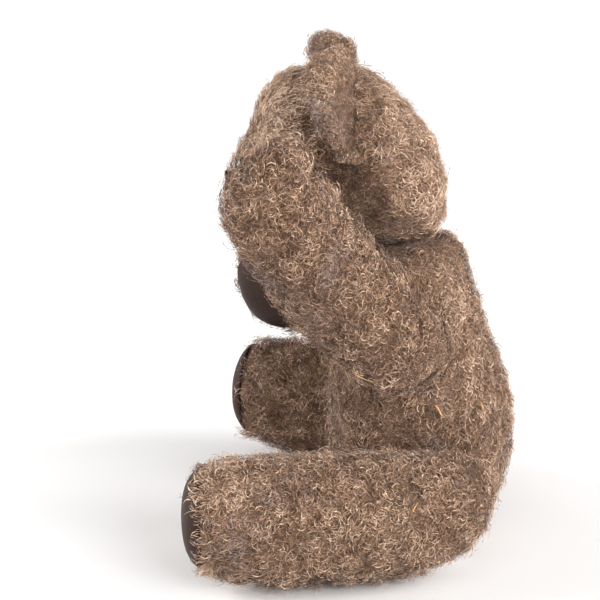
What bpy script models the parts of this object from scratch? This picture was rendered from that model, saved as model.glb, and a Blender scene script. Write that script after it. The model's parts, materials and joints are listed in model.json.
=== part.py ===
"""A disc-jointed teddy bear that sits with one arm raised.

Metres, +Z up. The bear faces -Y, its left side is +X, and it sits on z = 0 with
the middle of its seat at the origin. Head, arms and legs each turn on a pair of
hardboard discs, which a bolt and a lock nut hold together through the stuffed
bodies. Each joint has a frame of its own: Z runs out of the torso on the axis
that the limb turns about, X runs along the limb, and the two skins meet at z = 0.
"""

import math

import bmesh
import bpy
from mathutils import Matrix, Vector

# Clearance between neighbouring pieces, and how far a cutter runs past a face
GAP = 0.0003
PAST = 0.004
FAR = 0.300             # past the whole bear

# Stuffed forms: cage corners round a section and levels of smoothing
RING = 6
SMOOTH = 2
SWELL = 3 / (2 + math.cos(2 * math.pi / RING))  # makes up for what smoothing takes off

# Joint places, given for the left side, and the turns of the posed limbs in degrees
SHOULDER = Vector((0.0360, -0.0105, 0.1165))
SHOULDER_YAW = 13.0     # the outward axis turns back
LEFT_ARM_RISE = 50.0    # above straight forward
RIGHT_ARM_RISE = -14.0
RIGHT_ARM_LENGTH = 0.885  # its stuffing has packed down
HIP = Vector((0.0410, 0.0040, 0.0315))
HIP_YAW = 11.0
LEG_RISE = 0.0
NECK = Vector((0.0, -0.0130, 0.1510))
NECK_ROLL = 3.5         # the head lolls towards its right shoulder
NECK_PITCH = 4.0
HEAD_YAW = 6.0          # and is turned a little to its left

# Disc joints: radius of the hardboard discs at each kind of joint, and the rest
ARM_DISC = 0.0115
LEG_DISC = 0.0155
NECK_DISC = 0.0140
SKIN = 0.0020           # cloth between a disc and the outside
DISC_THICK = 0.0030
WASHER_RADIUS = 0.0070
WASHER_THICK = 0.0010
BOLT_RADIUS = 0.0024
BOLT_HEAD_RADIUS = 0.0045
BOLT_HEAD_THICK = 0.0025
BOLT_HOLE = 0.0029
NUT_RADIUS = 0.0046     # over its corners
NUT_SIDES = 6
NUT_THICK = 0.0045
BOLT_END = 0.0010       # thread past the nut
ARM_LAND = 0.032        # radius of the flat that a joint presses into the torso
LEG_LAND = 0.046
NECK_LAND = 0.030
LAND_DEPTH = 0.030      # the deepest that a soft form can stand past a joint's plane
DISC_STEPS = 16
SMALL_STEPS = 12

# Limbs, from the joint: (along, under, outward, half width, half depth)
ARM = (
    (-0.0255, 0.0000, 0.0150, 0.0150, 0.0120),
    (-0.0150, 0.0000, 0.0170, 0.0235, 0.0205),
    (0.0060, 0.0010, 0.0175, 0.0260, 0.0220),
    (0.0370, 0.0040, 0.0240, 0.0280, 0.0210),
    (0.0730, 0.0014, 0.0300, 0.0272, 0.0200),
    (0.1010, -0.0022, 0.0352, 0.0262, 0.0186),
    (0.1175, -0.0040, 0.0365, 0.0196, 0.0128),
)
LEG = (
    (-0.0340, -0.0100, 0.0175, 0.0115, 0.0115),
    (-0.0240, -0.0065, 0.0190, 0.0235, 0.0220),
    (0.0050, -0.0010, 0.0205, 0.0325, 0.0270),
    (0.0450, -0.0010, 0.0260, 0.0322, 0.0255),
    (0.0850, -0.0036, 0.0280, 0.0328, 0.0250),
    (0.1045, -0.0052, 0.0285, 0.0285, 0.0235),
    (0.1155, -0.0056, 0.0285, 0.0160, 0.0150),
)
# Torso: (height, middle's y, half width, half depth)
TORSO = (
    (-0.0040, 0.0000, 0.0300, 0.0270),
    (0.0110, 0.0000, 0.0420, 0.0375),
    (0.0380, 0.0010, 0.0455, 0.0465),
    (0.0700, 0.0015, 0.0445, 0.0470),
    (0.1020, -0.0035, 0.0425, 0.0385),
    (0.1290, -0.0065, 0.0405, 0.0325),
    (0.1480, -0.0075, 0.0340, 0.0290),
    (0.1560, -0.0080, 0.0220, 0.0210),
)
# Head, from nape to snout, out of the neck joint: (y, height, half width, half height)
HEAD = (
    (0.0270, 0.0220, 0.0190, 0.0170),
    (0.0155, 0.0280, 0.0350, 0.0318),
    (-0.0085, 0.0412, 0.0450, 0.0463),
    (-0.0330, 0.0446, 0.0475, 0.0440),
    (-0.0560, 0.0446, 0.0395, 0.0392),
    (-0.0650, 0.0352, 0.0280, 0.0272),
    (-0.0735, 0.0280, 0.0215, 0.0190),
    (-0.0780, 0.0264, 0.0125, 0.0110),
)
# Ear: a cupped half disc along its seam, which reaches a little below the head's skin
EAR_HALF_WIDTH = 0.0300
EAR_HEIGHT = 0.0300
EAR_ROOT = 0.0060
EAR_HALF_THICK = 0.0054
EAR_DROP = 0.0080       # how far its ends follow the head's curve
EAR_CUP = 0.0040        # how far its ends come forward
EAR_TURNS = (-78, -55, -28, 0, 28, 55, 78)   # sections, in degrees round the rim
EAR_SEAM = Vector((0.0345, -0.0170, 0.0725))    # the seam's middle, from the neck joint
EAR_RUN = Vector((-0.53, -0.07, 0.80))          # along the seam, upwards
EAR_LEAN = 42.0                                 # forward of straight out

# Leather: a paw pad is an oval on the arm's inner side, a foot pad caps the leg
PAD_THICK = 0.0015
PAW_PAD_MIDDLE = 0.0900
PAW_PAD_LONG = 0.0300
PAW_PAD_WIDE = 0.0235
PAW_PAD_OUTWARD = 0.0300
FOOT_PAD_START = 0.1020

# Face: heights above the neck joint, and half widths
EYE_ACROSS = 0.0160
EYE_HEIGHT = 0.0420
EYE_RADIUS = 0.0048
EYE_FLATTEN = 0.6
NOSE_HEIGHT = 0.0312
NOSE_SIZE = Vector((0.0082, 0.0024, 0.0054))
THREAD_RADIUS = 0.0007
LIP_TOP = 0.0250
LIP_BOTTOM = 0.0190
LIP_POINTS = 4
SMILE_WIDTH = 0.0120
SMILE_DROP = 0.0021     # clear of the lip stitch
SMILE_RISE = 0.0022
SMILE_POINTS = 9


def material(name, colour, roughness, metallic=0.0):
    made = bpy.data.materials.new(name)
    made.use_nodes = True
    shader = made.node_tree.nodes["Principled BSDF"]
    shader.inputs["Base Color"].default_value = (*colour, 1.0)
    shader.inputs["Roughness"].default_value = roughness
    shader.inputs["Metallic"].default_value = metallic
    made.diffuse_color = (*colour, 1.0)
    return made


def add_object(name, mesh, collection, finish=None, place=Matrix.Identity(4)):
    made = bpy.data.objects.new(name, mesh)
    if finish:
        mesh.materials.append(finish)
    made.matrix_world = place
    collection.objects.link(made)
    return made


def add_cutter(name, mesh, cutters, place=Matrix.Identity(4)):
    made = add_object(name, mesh, cutters, None, place)
    made.hide_render = True
    made.display_type = "WIRE"
    return made


def boolean(piece, cutter, operation="DIFFERENCE"):
    modifier = piece.modifiers.new(cutter.name, "BOOLEAN")
    modifier.object = cutter
    modifier.operation = operation
    modifier.solver = "EXACT"


def mesh_from_bmesh(name, bm):
    mesh = bpy.data.meshes.new(name)
    bm.to_mesh(mesh)
    bm.free()
    return mesh


def loft_mesh(name, sections):
    """A closed cage through sections, each a middle and two half axes."""
    bm = bmesh.new()
    rings = []
    for middle, across, up in sections:
        ring = []
        for corner in range(RING):
            turn = 2 * math.pi * corner / RING
            offset = across * math.cos(turn) + up * math.sin(turn)
            ring.append(bm.verts.new(middle + offset * SWELL))
        rings.append(ring)
    for lower, upper in zip(rings, rings[1:]):
        for corner in range(RING):
            after = (corner + 1) % RING
            bm.faces.new((lower[corner], lower[after], upper[after], upper[corner]))
    bm.faces.new(reversed(rings[0]))
    bm.faces.new(rings[-1])
    bmesh.ops.recalc_face_normals(bm, faces=bm.faces)
    mesh = mesh_from_bmesh(name, bm)
    mesh.shade_smooth()
    return mesh


def box_mesh(name, low, high):
    bm = bmesh.new()
    middle = (Vector(low) + Vector(high)) / 2
    size = Vector(high) - Vector(low)
    place = Matrix.Translation(middle) @ Matrix.Diagonal((*size, 1))
    bmesh.ops.create_cube(bm, size=1, matrix=place)
    return mesh_from_bmesh(name, bm)


def oval_mesh(name, middle, half_sizes, steps=2 * SMALL_STEPS):
    """An oval prism about middle, along Z."""
    bm = bmesh.new()
    bmesh.ops.create_cone(
        bm, cap_ends=True, segments=steps, radius1=1, radius2=1, depth=2,
        matrix=Matrix.Translation(middle) @ Matrix.Diagonal((*half_sizes, 1)))
    return mesh_from_bmesh(name, bm)


def smooth(piece):
    modifier = piece.modifiers.new("Subdivision", "SUBSURF")
    modifier.levels = modifier.render_levels = SMOOTH


def turned_mesh(name, profile, closed):
    """A profile of (radius, height), which runs down its outer side."""
    mesh = bpy.data.meshes.new(name)
    edges = [(i, i + 1) for i in range(len(profile) - 1)]
    if closed:
        edges.append((len(profile) - 1, 0))
    mesh.from_pydata([(radius, 0, height) for radius, height in profile], edges, [])
    return mesh


def turn(piece, steps):
    modifier = piece.modifiers.new("Turned", "SCREW")
    modifier.axis = "Z"
    modifier.angle = 2 * math.pi
    modifier.steps = modifier.render_steps = steps
    modifier.use_merge_vertices = True
    modifier.merge_threshold = 0.00001
    modifier.use_smooth_shade = False


def ring_profile(inner, outer, low, high):
    return [(outer, high), (outer, low), (inner, low), (inner, high)]


def joint_matrix(place, outward, along):
    """Z runs outward on the joint's axis, and X along the limb."""
    z = outward.normalized()
    x = (along - z * along.dot(z)).normalized()
    turned = Matrix((x, z.cross(x), z)).transposed().to_4x4()
    return Matrix.Translation(place) @ turned


def limb_matrix(place, yaw, rise, side):
    """side is 1 on the left and -1 on the right."""
    yaw, rise = math.radians(yaw), math.radians(rise)
    outward = Vector((side * math.cos(yaw), math.sin(yaw), 0))
    forward = Vector((side * math.sin(yaw), -math.cos(yaw), 0))
    along = forward * math.cos(rise) + Vector((0, 0, math.sin(rise)))
    return joint_matrix(Vector((side * place.x, place.y, place.z)), outward, along)


def neck_matrix():
    return (
        Matrix.Translation(NECK)
        @ Matrix.Rotation(math.radians(-NECK_ROLL), 4, "Y")
        @ Matrix.Rotation(math.radians(NECK_PITCH), 4, "X")
        @ Matrix.Rotation(math.radians(HEAD_YAW), 4, "Z")
    )


def ear_matrix(side):
    """X runs along the seam, Y out to the rim, and Z out of the ear's face."""
    run = Vector((side * EAR_RUN.x, EAR_RUN.y, EAR_RUN.z)).normalized()
    out = Vector((side * EAR_RUN.z, 0, -EAR_RUN.x))
    ahead = Vector((0, -1, 0))
    lean = math.radians(EAR_LEAN)
    face = ahead * math.cos(lean) - out * math.sin(lean)
    face = (face - run * face.dot(run)).normalized()
    rim = run.cross(face) * side
    place = Vector((side * EAR_SEAM.x, EAR_SEAM.y, EAR_SEAM.z))
    return Matrix.Translation(place) @ Matrix((run * -side, rim, face)).transposed().to_4x4()


def limb_sections(rows, side, length=1.0):
    return [
        (Vector((along * length, side * under, out)), Vector((0, wide, 0)), Vector((0, 0, deep)))
        for along, under, out, wide, deep in rows
    ]


def swollen_cutter(source, name, by, cutters):
    """A cutter with the smooth form of source, grown outwards by a distance."""
    made = add_cutter(name, source.data.copy(), cutters, source.matrix_world.copy())
    smooth(made)
    modifier = made.modifiers.new("Grow", "DISPLACE")
    modifier.strength = by
    modifier.mid_level = 0.0
    return made


def flatten_on_floor(piece, cutters):
    """Gives a stuffed form the flat underside that its weight presses."""
    floor = box_mesh("floor", (-FAR, -FAR, -FAR), (FAR, FAR, 0))
    boolean(piece, add_cutter("floor_under_" + piece.name, floor, cutters))


def press_limb(piece, frame, cutters):
    """Shaves off what would pass the plane that the limb turns in."""
    name = piece.name + "_plane"
    middle = Vector((0, 0, (GAP / 2 - LAND_DEPTH) / 2))
    half_sizes = (FAR, FAR, (GAP / 2 + LAND_DEPTH) / 2)
    boolean(piece, add_cutter(name, oval_mesh(name, middle, half_sizes), cutters, frame))


def press_land(torso, joint, frame, radius, cutters):
    """Shaves the round flat on the torso that the joint's limb turns against."""
    name = joint + "_land"
    middle = Vector((0, 0, (LAND_DEPTH - GAP / 2) / 2))
    half_sizes = (radius, radius, (LAND_DEPTH + GAP / 2) / 2)
    boolean(torso, add_cutter(name, oval_mesh(name, middle, half_sizes), cutters, frame))


def hollow_profile(disc_radius, end):
    """The space that a disc, its washer and the bolt's end take, from the skin inwards."""
    disc_end = SKIN + 2 * GAP + DISC_THICK
    washer_space = WASHER_RADIUS + GAP
    return [
        (0, -PAST), (BOLT_HOLE, -PAST), (BOLT_HOLE, SKIN), (disc_radius + GAP, SKIN),
        (disc_radius + GAP, disc_end), (washer_space, disc_end), (washer_space, end), (0, end),
    ]


def make_joint(joint, frame, limb, torso, disc_radius, parts, cutters, board, steel):
    """Discs, washers, bolt and nut on the frame's axis, and the spaces that hold them."""
    disc_start = SKIN + GAP
    washer_start = disc_start + DISC_THICK + GAP
    fixing_start = washer_start + WASHER_THICK + GAP
    head_end = fixing_start + BOLT_HEAD_THICK
    nut_end = fixing_start + NUT_THICK
    disc = ring_profile(BOLT_HOLE, disc_radius, disc_start, disc_start + DISC_THICK)
    washer = ring_profile(BOLT_HOLE, WASHER_RADIUS, washer_start, washer_start + WASHER_THICK)
    flip = Matrix.Rotation(math.pi, 4, "X")
    for where, owner, place in (("outer", limb, frame), ("inner", torso, frame @ flip)):
        board_ring = turned_mesh("disc", disc, True)
        turn(add_object(f"{joint}_disc_{where}", board_ring, parts, board, place), DISC_STEPS)
        steel_washer = turned_mesh("washer", washer, True)
        turn(add_object(f"{joint}_washer_{where}", steel_washer, parts, steel, place), SMALL_STEPS)
        end = (head_end if where == "outer" else nut_end + BOLT_END) + GAP
        space = turned_mesh("space", list(reversed(hollow_profile(disc_radius, end))), False)
        cutter = add_cutter(f"{joint}_space_{where}", space, cutters, place)
        turn(cutter, DISC_STEPS)
        boolean(owner, cutter)
    bolt = [
        (0, head_end), (BOLT_HEAD_RADIUS, head_end), (BOLT_HEAD_RADIUS, fixing_start),
        (BOLT_RADIUS, fixing_start), (BOLT_RADIUS, -nut_end - BOLT_END), (0, -nut_end - BOLT_END),
    ]
    turn(add_object(f"{joint}_bolt", turned_mesh("bolt", bolt, False), parts, steel, frame), SMALL_STEPS)
    add_nut(f"{joint}_nut", frame, -nut_end, -fixing_start, parts, cutters, steel)


def add_nut(name, frame, low, high, parts, cutters, steel):
    middle = Vector((0, 0, (low + high) / 2))
    half = (high - low) / 2
    hexagon = oval_mesh(name, middle, (NUT_RADIUS, NUT_RADIUS, half), NUT_SIDES)
    nut = add_object(name, hexagon, parts, steel, frame)
    hole = oval_mesh(name, middle, (BOLT_HOLE, BOLT_HOLE, half + PAST), SMALL_STEPS)
    boolean(nut, add_cutter(name + "_hole", hole, cutters, frame))


def make_torso(parts, pile):
    torso = add_object("torso", loft_mesh("torso", [
        (Vector((0, y, height)), Vector((wide, 0, 0)), Vector((0, deep, 0)))
        for height, y, wide, deep in TORSO
    ]), parts, pile)
    smooth(torso)
    return torso


def make_head(frame, parts, pile):
    head = add_object("head", loft_mesh("head", [
        (Vector((0, y, height)), Vector((wide, 0, 0)), Vector((0, 0, tall)))
        for y, height, wide, tall in HEAD
    ]), parts, pile, frame)
    smooth(head)
    return head


def make_ear(name, frame, parts, pile, head_seat):
    sections = []
    for degrees in EAR_TURNS:
        across = math.sin(math.radians(degrees))
        up = math.cos(math.radians(degrees))
        drop = EAR_DROP * across ** 2
        top = EAR_HEIGHT * up - drop
        bottom = -EAR_ROOT * up - drop
        middle = Vector((EAR_HALF_WIDTH * across, (top + bottom) / 2, EAR_CUP * across ** 2))
        thick = EAR_HALF_THICK * (1 + up) / 2
        sections.append((middle, Vector((0, (top - bottom) / 2, 0)), Vector((0, 0, thick))))
    ear = add_object(name, loft_mesh(name, sections), parts, pile, frame)
    smooth(ear)
    boolean(ear, head_seat)


def make_bead(name, frame, place, size, parts, finish, head_seat):
    """A domed piece whose back half is cut away by the head that it is sewn to."""
    bm = bmesh.new()
    bmesh.ops.create_uvsphere(
        bm, u_segments=SMALL_STEPS, v_segments=SMALL_STEPS // 2, radius=1,
        matrix=Matrix.Translation(place) @ Matrix.Diagonal((*size, 1)))
    mesh = mesh_from_bmesh(name, bm)
    mesh.shade_smooth()
    boolean(add_object(name, mesh, parts, finish, frame), head_seat)


def make_thread(name, frame, points, parts, finish, head_seat):
    """A thread through points on the head's skin, made a mesh so that its seat is cut."""
    curve = bpy.data.curves.new(name, "CURVE")
    curve.dimensions = "3D"
    curve.bevel_depth = THREAD_RADIUS
    curve.bevel_resolution = 1
    curve.use_fill_caps = True
    spline = curve.splines.new("POLY")
    spline.points.add(len(points) - 1)
    for knot, point in zip(spline.points, points):
        knot.co = (*point, 1)
    guide = bpy.data.objects.new(name + "_guide", curve)
    bpy.context.scene.collection.objects.link(guide)
    mesh = bpy.data.meshes.new_from_object(guide.evaluated_get(bpy.context.evaluated_depsgraph_get()))
    bpy.data.objects.remove(guide, do_unlink=True)
    bm = bmesh.new()
    bm.from_mesh(mesh)
    bmesh.ops.remove_doubles(bm, verts=bm.verts, dist=0.00001)
    bm.to_mesh(mesh)
    bm.free()
    boolean(add_object(name, mesh, parts, finish, frame), head_seat)


def snout_point(head_form, across, height):
    """Where a line straight back from in front of the snout meets the skin."""
    hit, place, _, _ = head_form.ray_cast(Vector((across, -1, height)), Vector((0, 1, 0)))
    return place if hit else Vector((across, 0, height))


def make_face(frame, head, parts, black, thread, head_seat):
    size = Vector((EYE_RADIUS, EYE_RADIUS * EYE_FLATTEN, EYE_RADIUS))
    head_form = head.evaluated_get(bpy.context.evaluated_depsgraph_get())
    for side, name in ((1, "left"), (-1, "right")):
        place = snout_point(head_form, side * EYE_ACROSS, EYE_HEIGHT)
        make_bead("eye_" + name, frame, place, size, parts, black, head_seat)
    nose = snout_point(head_form, 0, NOSE_HEIGHT)
    make_bead("nose_stitching", frame, nose, NOSE_SIZE, parts, thread, head_seat)
    lip = []
    for i in range(LIP_POINTS):
        height = LIP_TOP + (LIP_BOTTOM - LIP_TOP) * i / (LIP_POINTS - 1)
        lip.append(snout_point(head_form, 0, height))
    make_thread("lip_stitch", frame, lip, parts, thread, head_seat)
    smile = []
    for i in range(SMILE_POINTS):
        across = 2 * i / (SMILE_POINTS - 1) - 1
        height = LIP_BOTTOM - SMILE_DROP + SMILE_RISE * across ** 2
        smile.append(snout_point(head_form, across * SMILE_WIDTH, height))
    make_thread("mouth_stitch", frame, smile, parts, thread, head_seat)


def make_pad(name, limb, frame, mesh, parts, cutters, leather):
    """A leather patch that follows the limb's form inside the outline of mesh."""
    pad = add_object(name, mesh, parts, leather, frame)
    boolean(pad, swollen_cutter(limb, name + "_outside", GAP + PAD_THICK, cutters), "INTERSECT")
    boolean(pad, swollen_cutter(limb, name + "_inside", GAP, cutters))


def make_arm(name, side, rise, length, parts, cutters, pile, leather):
    frame = limb_matrix(SHOULDER, SHOULDER_YAW, rise, side)
    form = loft_mesh("arm_" + name, limb_sections(ARM, side, length))
    arm = add_object("arm_" + name, form, parts, pile, frame)
    smooth(arm)
    middle = Vector((PAW_PAD_MIDDLE * length, 0, 0))
    outline = oval_mesh("paw_pad_" + name, middle, (PAW_PAD_LONG, PAW_PAD_WIDE, PAW_PAD_OUTWARD))
    make_pad("paw_pad_" + name, arm, frame, outline, parts, cutters, leather)
    press_limb(arm, frame, cutters)
    return arm, frame


def make_leg(name, side, parts, cutters, pile, leather):
    frame = limb_matrix(HIP, HIP_YAW, LEG_RISE, side)
    form = loft_mesh("leg_" + name, limb_sections(LEG, side))
    leg = add_object("leg_" + name, form, parts, pile, frame)
    smooth(leg)
    outline = box_mesh("foot_pad_" + name, (FOOT_PAD_START, -FAR, -FAR), (FAR, FAR, FAR))
    make_pad("foot_pad_" + name, leg, frame, outline, parts, cutters, leather)
    press_limb(leg, frame, cutters)
    flatten_on_floor(leg, cutters)
    flatten_on_floor(bpy.data.objects["foot_pad_" + name], cutters)
    return leg, frame


def main():
    for old in list(bpy.data.objects):
        bpy.data.objects.remove(old, do_unlink=True)
    parts = bpy.data.collections.new("jointed_teddy_bear")
    cutters = bpy.data.collections.new("cutters")
    for collection in (parts, cutters):
        bpy.context.scene.collection.children.link(collection)

    pile = material("worn_wool_pile", (0.30, 0.21, 0.15), 0.95)
    leather = material("dark_leather", (0.045, 0.028, 0.025), 0.45)
    board = material("hardboard", (0.35, 0.24, 0.14), 0.85)
    steel = material("plated_steel", (0.55, 0.55, 0.56), 0.35, 1.0)
    black = material("black_glass", (0.01, 0.008, 0.007), 0.1)
    thread = material("black_thread", (0.02, 0.017, 0.016), 0.7)

    torso = make_torso(parts, pile)
    neck = neck_matrix()
    head = make_head(neck, parts, pile)
    head_seat = swollen_cutter(head, "head_seat", GAP, cutters)
    for side, name in ((1, "left"), (-1, "right")):
        make_ear("ear_" + name, neck @ ear_matrix(side), parts, pile, head_seat)
    make_face(neck, head, parts, black, thread, head_seat)

    limbs = []
    for side, name, rise, length in (
            (1, "left", LEFT_ARM_RISE, 1.0), (-1, "right", RIGHT_ARM_RISE, RIGHT_ARM_LENGTH)):
        arm, shoulder = make_arm(name, side, rise, length, parts, cutters, pile, leather)
        leg, hip = make_leg(name, side, parts, cutters, pile, leather)
        limbs.append(("shoulder_" + name, shoulder, arm, ARM_DISC, ARM_LAND))
        limbs.append(("hip_" + name, hip, leg, LEG_DISC, LEG_LAND))
    limbs.append(("neck", neck, head, NECK_DISC, NECK_LAND))

    press_limb(head, neck, cutters)
    for joint, frame, limb, disc_radius, land in limbs:
        press_land(torso, joint, frame, land, cutters)
        make_joint(joint, frame, limb, torso, disc_radius, parts, cutters, board, steel)
    flatten_on_floor(torso, cutters)


main()
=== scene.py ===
"""A worn, jointed teddy bear in curly wool pile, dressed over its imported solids.

Each stuffed body is a swollen cloth form under a pile of curled wool fibres. Leather pads, glass
eyes, embroidery and the joint hardware are finished over it. Metres, +Z up; the bear faces -Y.
"""

import json
import math

import bmesh
import bpy
import numpy as np
from mathutils import Matrix, Vector, noise
from mathutils.bvhtree import BVHTree


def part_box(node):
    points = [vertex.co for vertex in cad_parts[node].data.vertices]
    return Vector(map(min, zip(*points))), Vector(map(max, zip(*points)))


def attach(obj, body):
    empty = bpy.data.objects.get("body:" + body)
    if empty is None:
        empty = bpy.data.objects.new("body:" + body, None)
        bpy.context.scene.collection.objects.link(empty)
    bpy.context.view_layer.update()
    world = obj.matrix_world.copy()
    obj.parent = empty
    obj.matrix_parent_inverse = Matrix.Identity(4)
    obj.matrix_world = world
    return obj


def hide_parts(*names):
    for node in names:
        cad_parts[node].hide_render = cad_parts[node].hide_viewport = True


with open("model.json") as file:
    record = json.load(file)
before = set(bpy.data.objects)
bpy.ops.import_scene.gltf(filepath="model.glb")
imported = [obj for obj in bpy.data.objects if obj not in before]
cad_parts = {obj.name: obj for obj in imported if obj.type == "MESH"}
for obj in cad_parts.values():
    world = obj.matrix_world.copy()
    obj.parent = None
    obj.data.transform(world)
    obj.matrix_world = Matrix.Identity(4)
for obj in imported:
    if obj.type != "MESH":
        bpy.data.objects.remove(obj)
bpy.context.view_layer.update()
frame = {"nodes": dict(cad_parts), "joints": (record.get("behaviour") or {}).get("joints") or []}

# ---------------------------------------------------------------- driving sizes

VOXEL = 0.0036          # cloth forms are remeshed at this size
SUNK = 0.0024           # the cloth lies this far inside the solids, which reach into the pile
SUNK_UNDER_PAD = 0.0008
PLANE_KEEP = 0.0020     # cloth this near a joint's plane stays where it is
PLANE_EASE = 0.0090
DISC_COVER = 0.0025     # cloth is drawn tight over a joint's disc and this far round it
DISC_EASE = 0.0080
SMOOTH_ROUNDS = 12
SWELL_FRAMES = 14
SWELL_PRESSURE = 4.0
SWELL_CAP = 0.0022
SEAM_WIDTH = 0.0024
SHELL_SAME = 0.00002    # loose triangles are joined within this distance
LUMP_FINE = 150.0       # lumps to a metre, fine and broad
LUMP_BROAD = 70.0
LUMP_RISE = 0.0014
LUMP_PAINTED_SHADE = 0.22        # hollows are this much darker, as painted shade

# The pile on each body: length, width, how high it stands, the size of its tufts, the angle each fibre
# bends through, how evenly it is brushed, fibres to a square centimetre, and tone
BODY_PILE = dict(length=0.0074, width=0.00015, stand=0.0026, tuft=0.0048, bend=1.9, comb=0.35)
LEG_PILE = dict(BODY_PILE, stand=0.0027)
HEAD_PILE = dict(length=0.0090, width=0.00015, stand=0.0024, tuft=0.0054, bend=1.5, comb=1.1)
PILE = {
    "torso": dict(BODY_PILE, per_cm2=89, tone=0.465),
    "head": dict(HEAD_PILE, per_cm2=96, tone=0.635),
    "arm_left": dict(BODY_PILE, per_cm2=138, tone=0.415),
    "arm_right": dict(BODY_PILE, per_cm2=94, tone=0.44),
    "leg_left": dict(LEG_PILE, per_cm2=122, tone=0.50),
    "leg_right": dict(LEG_PILE, per_cm2=84, tone=0.44),
}
FIBRE_QUADS = 3         # slanted faces along a fibre
STRAY_SHARE = 0.04      # fibres that stand clear of the rest
FRIZZ_SHARE = 0.38      # fibres that are finer and paler, strays among them

# Bodies that each stuffed form rides on, and the joint whose plane it turns against
FORMS = {
    "torso": ("torso_body", None),
    "head": ("head_body", "neck"),
    "arm_left": ("arm_left_body", "shoulder_left"),
    "arm_right": ("arm_right_body", "shoulder_right"),
    "leg_left": ("leg_left_body", "hip_left"),
    "leg_right": ("leg_right_body", "hip_right"),
}
JOINTS = {joint["name"]: joint for joint in frame["joints"]}
HEAD_TURN = math.radians(6)     # the head looks this far to one side


# ---------------------------------------------------------------- nodes as expressions

def arithmetic(operation, swapped=False):
    def apply(self, other):
        return self.tree.math(operation, other, self) if swapped else self.tree.math(operation, self, other)
    return apply


class Value:
    """A node's output. Arithmetic on it adds Math nodes for numbers and Vector Math for vectors."""

    def __init__(self, tree, socket):
        self.tree = tree
        self.socket = socket

    __add__ = __radd__ = arithmetic("ADD")
    __sub__ = arithmetic("SUBTRACT")
    __rsub__ = arithmetic("SUBTRACT", swapped=True)
    __mul__ = __rmul__ = arithmetic("MULTIPLY")
    __truediv__ = arithmetic("DIVIDE")
    __rtruediv__ = arithmetic("DIVIDE", swapped=True)
    __pow__ = arithmetic("POWER")

    def clamped(self):
        return self.tree.ramp(self, 0, 1, 0, 1)


def is_vector(value):
    if isinstance(value, Value):
        return value.socket.type in ("VECTOR", "RGBA")
    return not isinstance(value, (int, float))


class Tree:
    """Makes nodes in a shader's or a geometry modifier's tree."""

    def __init__(self, node_tree):
        self.nodes = node_tree.nodes
        self.links = node_tree.links

    def node(self, kind, settings=None, inputs=None):
        made = self.nodes.new(kind)
        for name, value in (settings or {}).items():
            if name == "stops":
                self.set_stops(made.color_ramp, value)
            else:
                setattr(made, name, value)
        for name, value in (inputs or {}).items():
            self.put(made.inputs[name], value)
        return made

    def put(self, socket, value):
        if isinstance(value, Value):
            self.links.new(value.socket, socket)
        else:
            socket.default_value = value

    def set_stops(self, ramp, stops):
        while len(ramp.elements) < len(stops):
            ramp.elements.new(0.5)
        for element, (position, colour) in zip(ramp.elements, stops):
            element.position = position
            element.color = (*colour, 1.0)

    def get(self, kind, settings=None, inputs=None, output=0):
        return Value(self, self.node(kind, settings, inputs).outputs[output])

    def math(self, operation, a, b=0.0):
        if not (is_vector(a) or is_vector(b)):
            return self.get("ShaderNodeMath", {"operation": operation}, {0: a, 1: b})
        if operation == "MULTIPLY" and not (is_vector(a) and is_vector(b)):
            vector, number = (a, b) if is_vector(a) else (b, a)
            return self.get("ShaderNodeVectorMath", {"operation": "SCALE"}, {0: vector, "Scale": number})
        return self.get("ShaderNodeVectorMath", {"operation": operation}, {0: a, 1: b})

    def ramp(self, value, low, high, to_low=0.0, to_high=1.0, kind="LINEAR"):
        return self.get("ShaderNodeMapRange", {"interpolation_type": kind},
                        {0: value, 1: low, 2: high, 3: to_low, 4: to_high})

    def sine(self, angle):
        return self.math("SINE", angle)

    def cosine(self, angle):
        return self.math("COSINE", angle)

    def noise(self, place, scale, detail=2.0, roughness=0.5, output="Fac"):
        return self.get("ShaderNodeTexNoise", None,
                        {"Vector": place, "Scale": scale, "Detail": detail, "Roughness": roughness}, output)

    def cells(self, place, scale, output="Distance", randomness=1.0):
        return self.get("ShaderNodeTexVoronoi", None,
                        {"Vector": place, "Scale": scale, "Randomness": randomness}, output)

    def mix(self, share, a, b, blend="MIX"):
        made = self.node("ShaderNodeMix", {"data_type": "RGBA", "blend_type": blend})
        self.put(made.inputs[0], share)
        self.put(made.inputs[6], a if isinstance(a, Value) else (*a, 1.0))
        self.put(made.inputs[7], b if isinstance(b, Value) else (*b, 1.0))
        return Value(self, made.outputs[2])

    def split(self, vector):
        """The first two numbers of a vector."""
        made = self.node("ShaderNodeSeparateXYZ", None, {0: vector})
        return Value(self, made.outputs[0]), Value(self, made.outputs[1])

    def colours(self, value, stops):
        return self.get("ShaderNodeValToRGB", {"stops": stops}, {"Fac": value})


# ---------------------------------------------------------------- finishes

def finish(name, paint, roughness=0.8, metallic=0.0):
    """A material whose Principled shader takes the inputs that paint(tree) gives."""
    made = bpy.data.materials.new(name)
    made.use_nodes = True
    tree = Tree(made.node_tree)
    shader = made.node_tree.nodes["Principled BSDF"]
    for socket, value in (("Roughness", roughness), ("Metallic", metallic), *paint(tree).items()):
        tree.put(shader.inputs[socket], value)
    return made


def bumped(tree, height, strength, distance):
    return tree.get("ShaderNodeBump", None, {
        "Height": height, "Strength": strength, "Distance": distance}, "Normal")


def own_place(tree):
    return tree.get("ShaderNodeTexCoord", output="Object")


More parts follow.
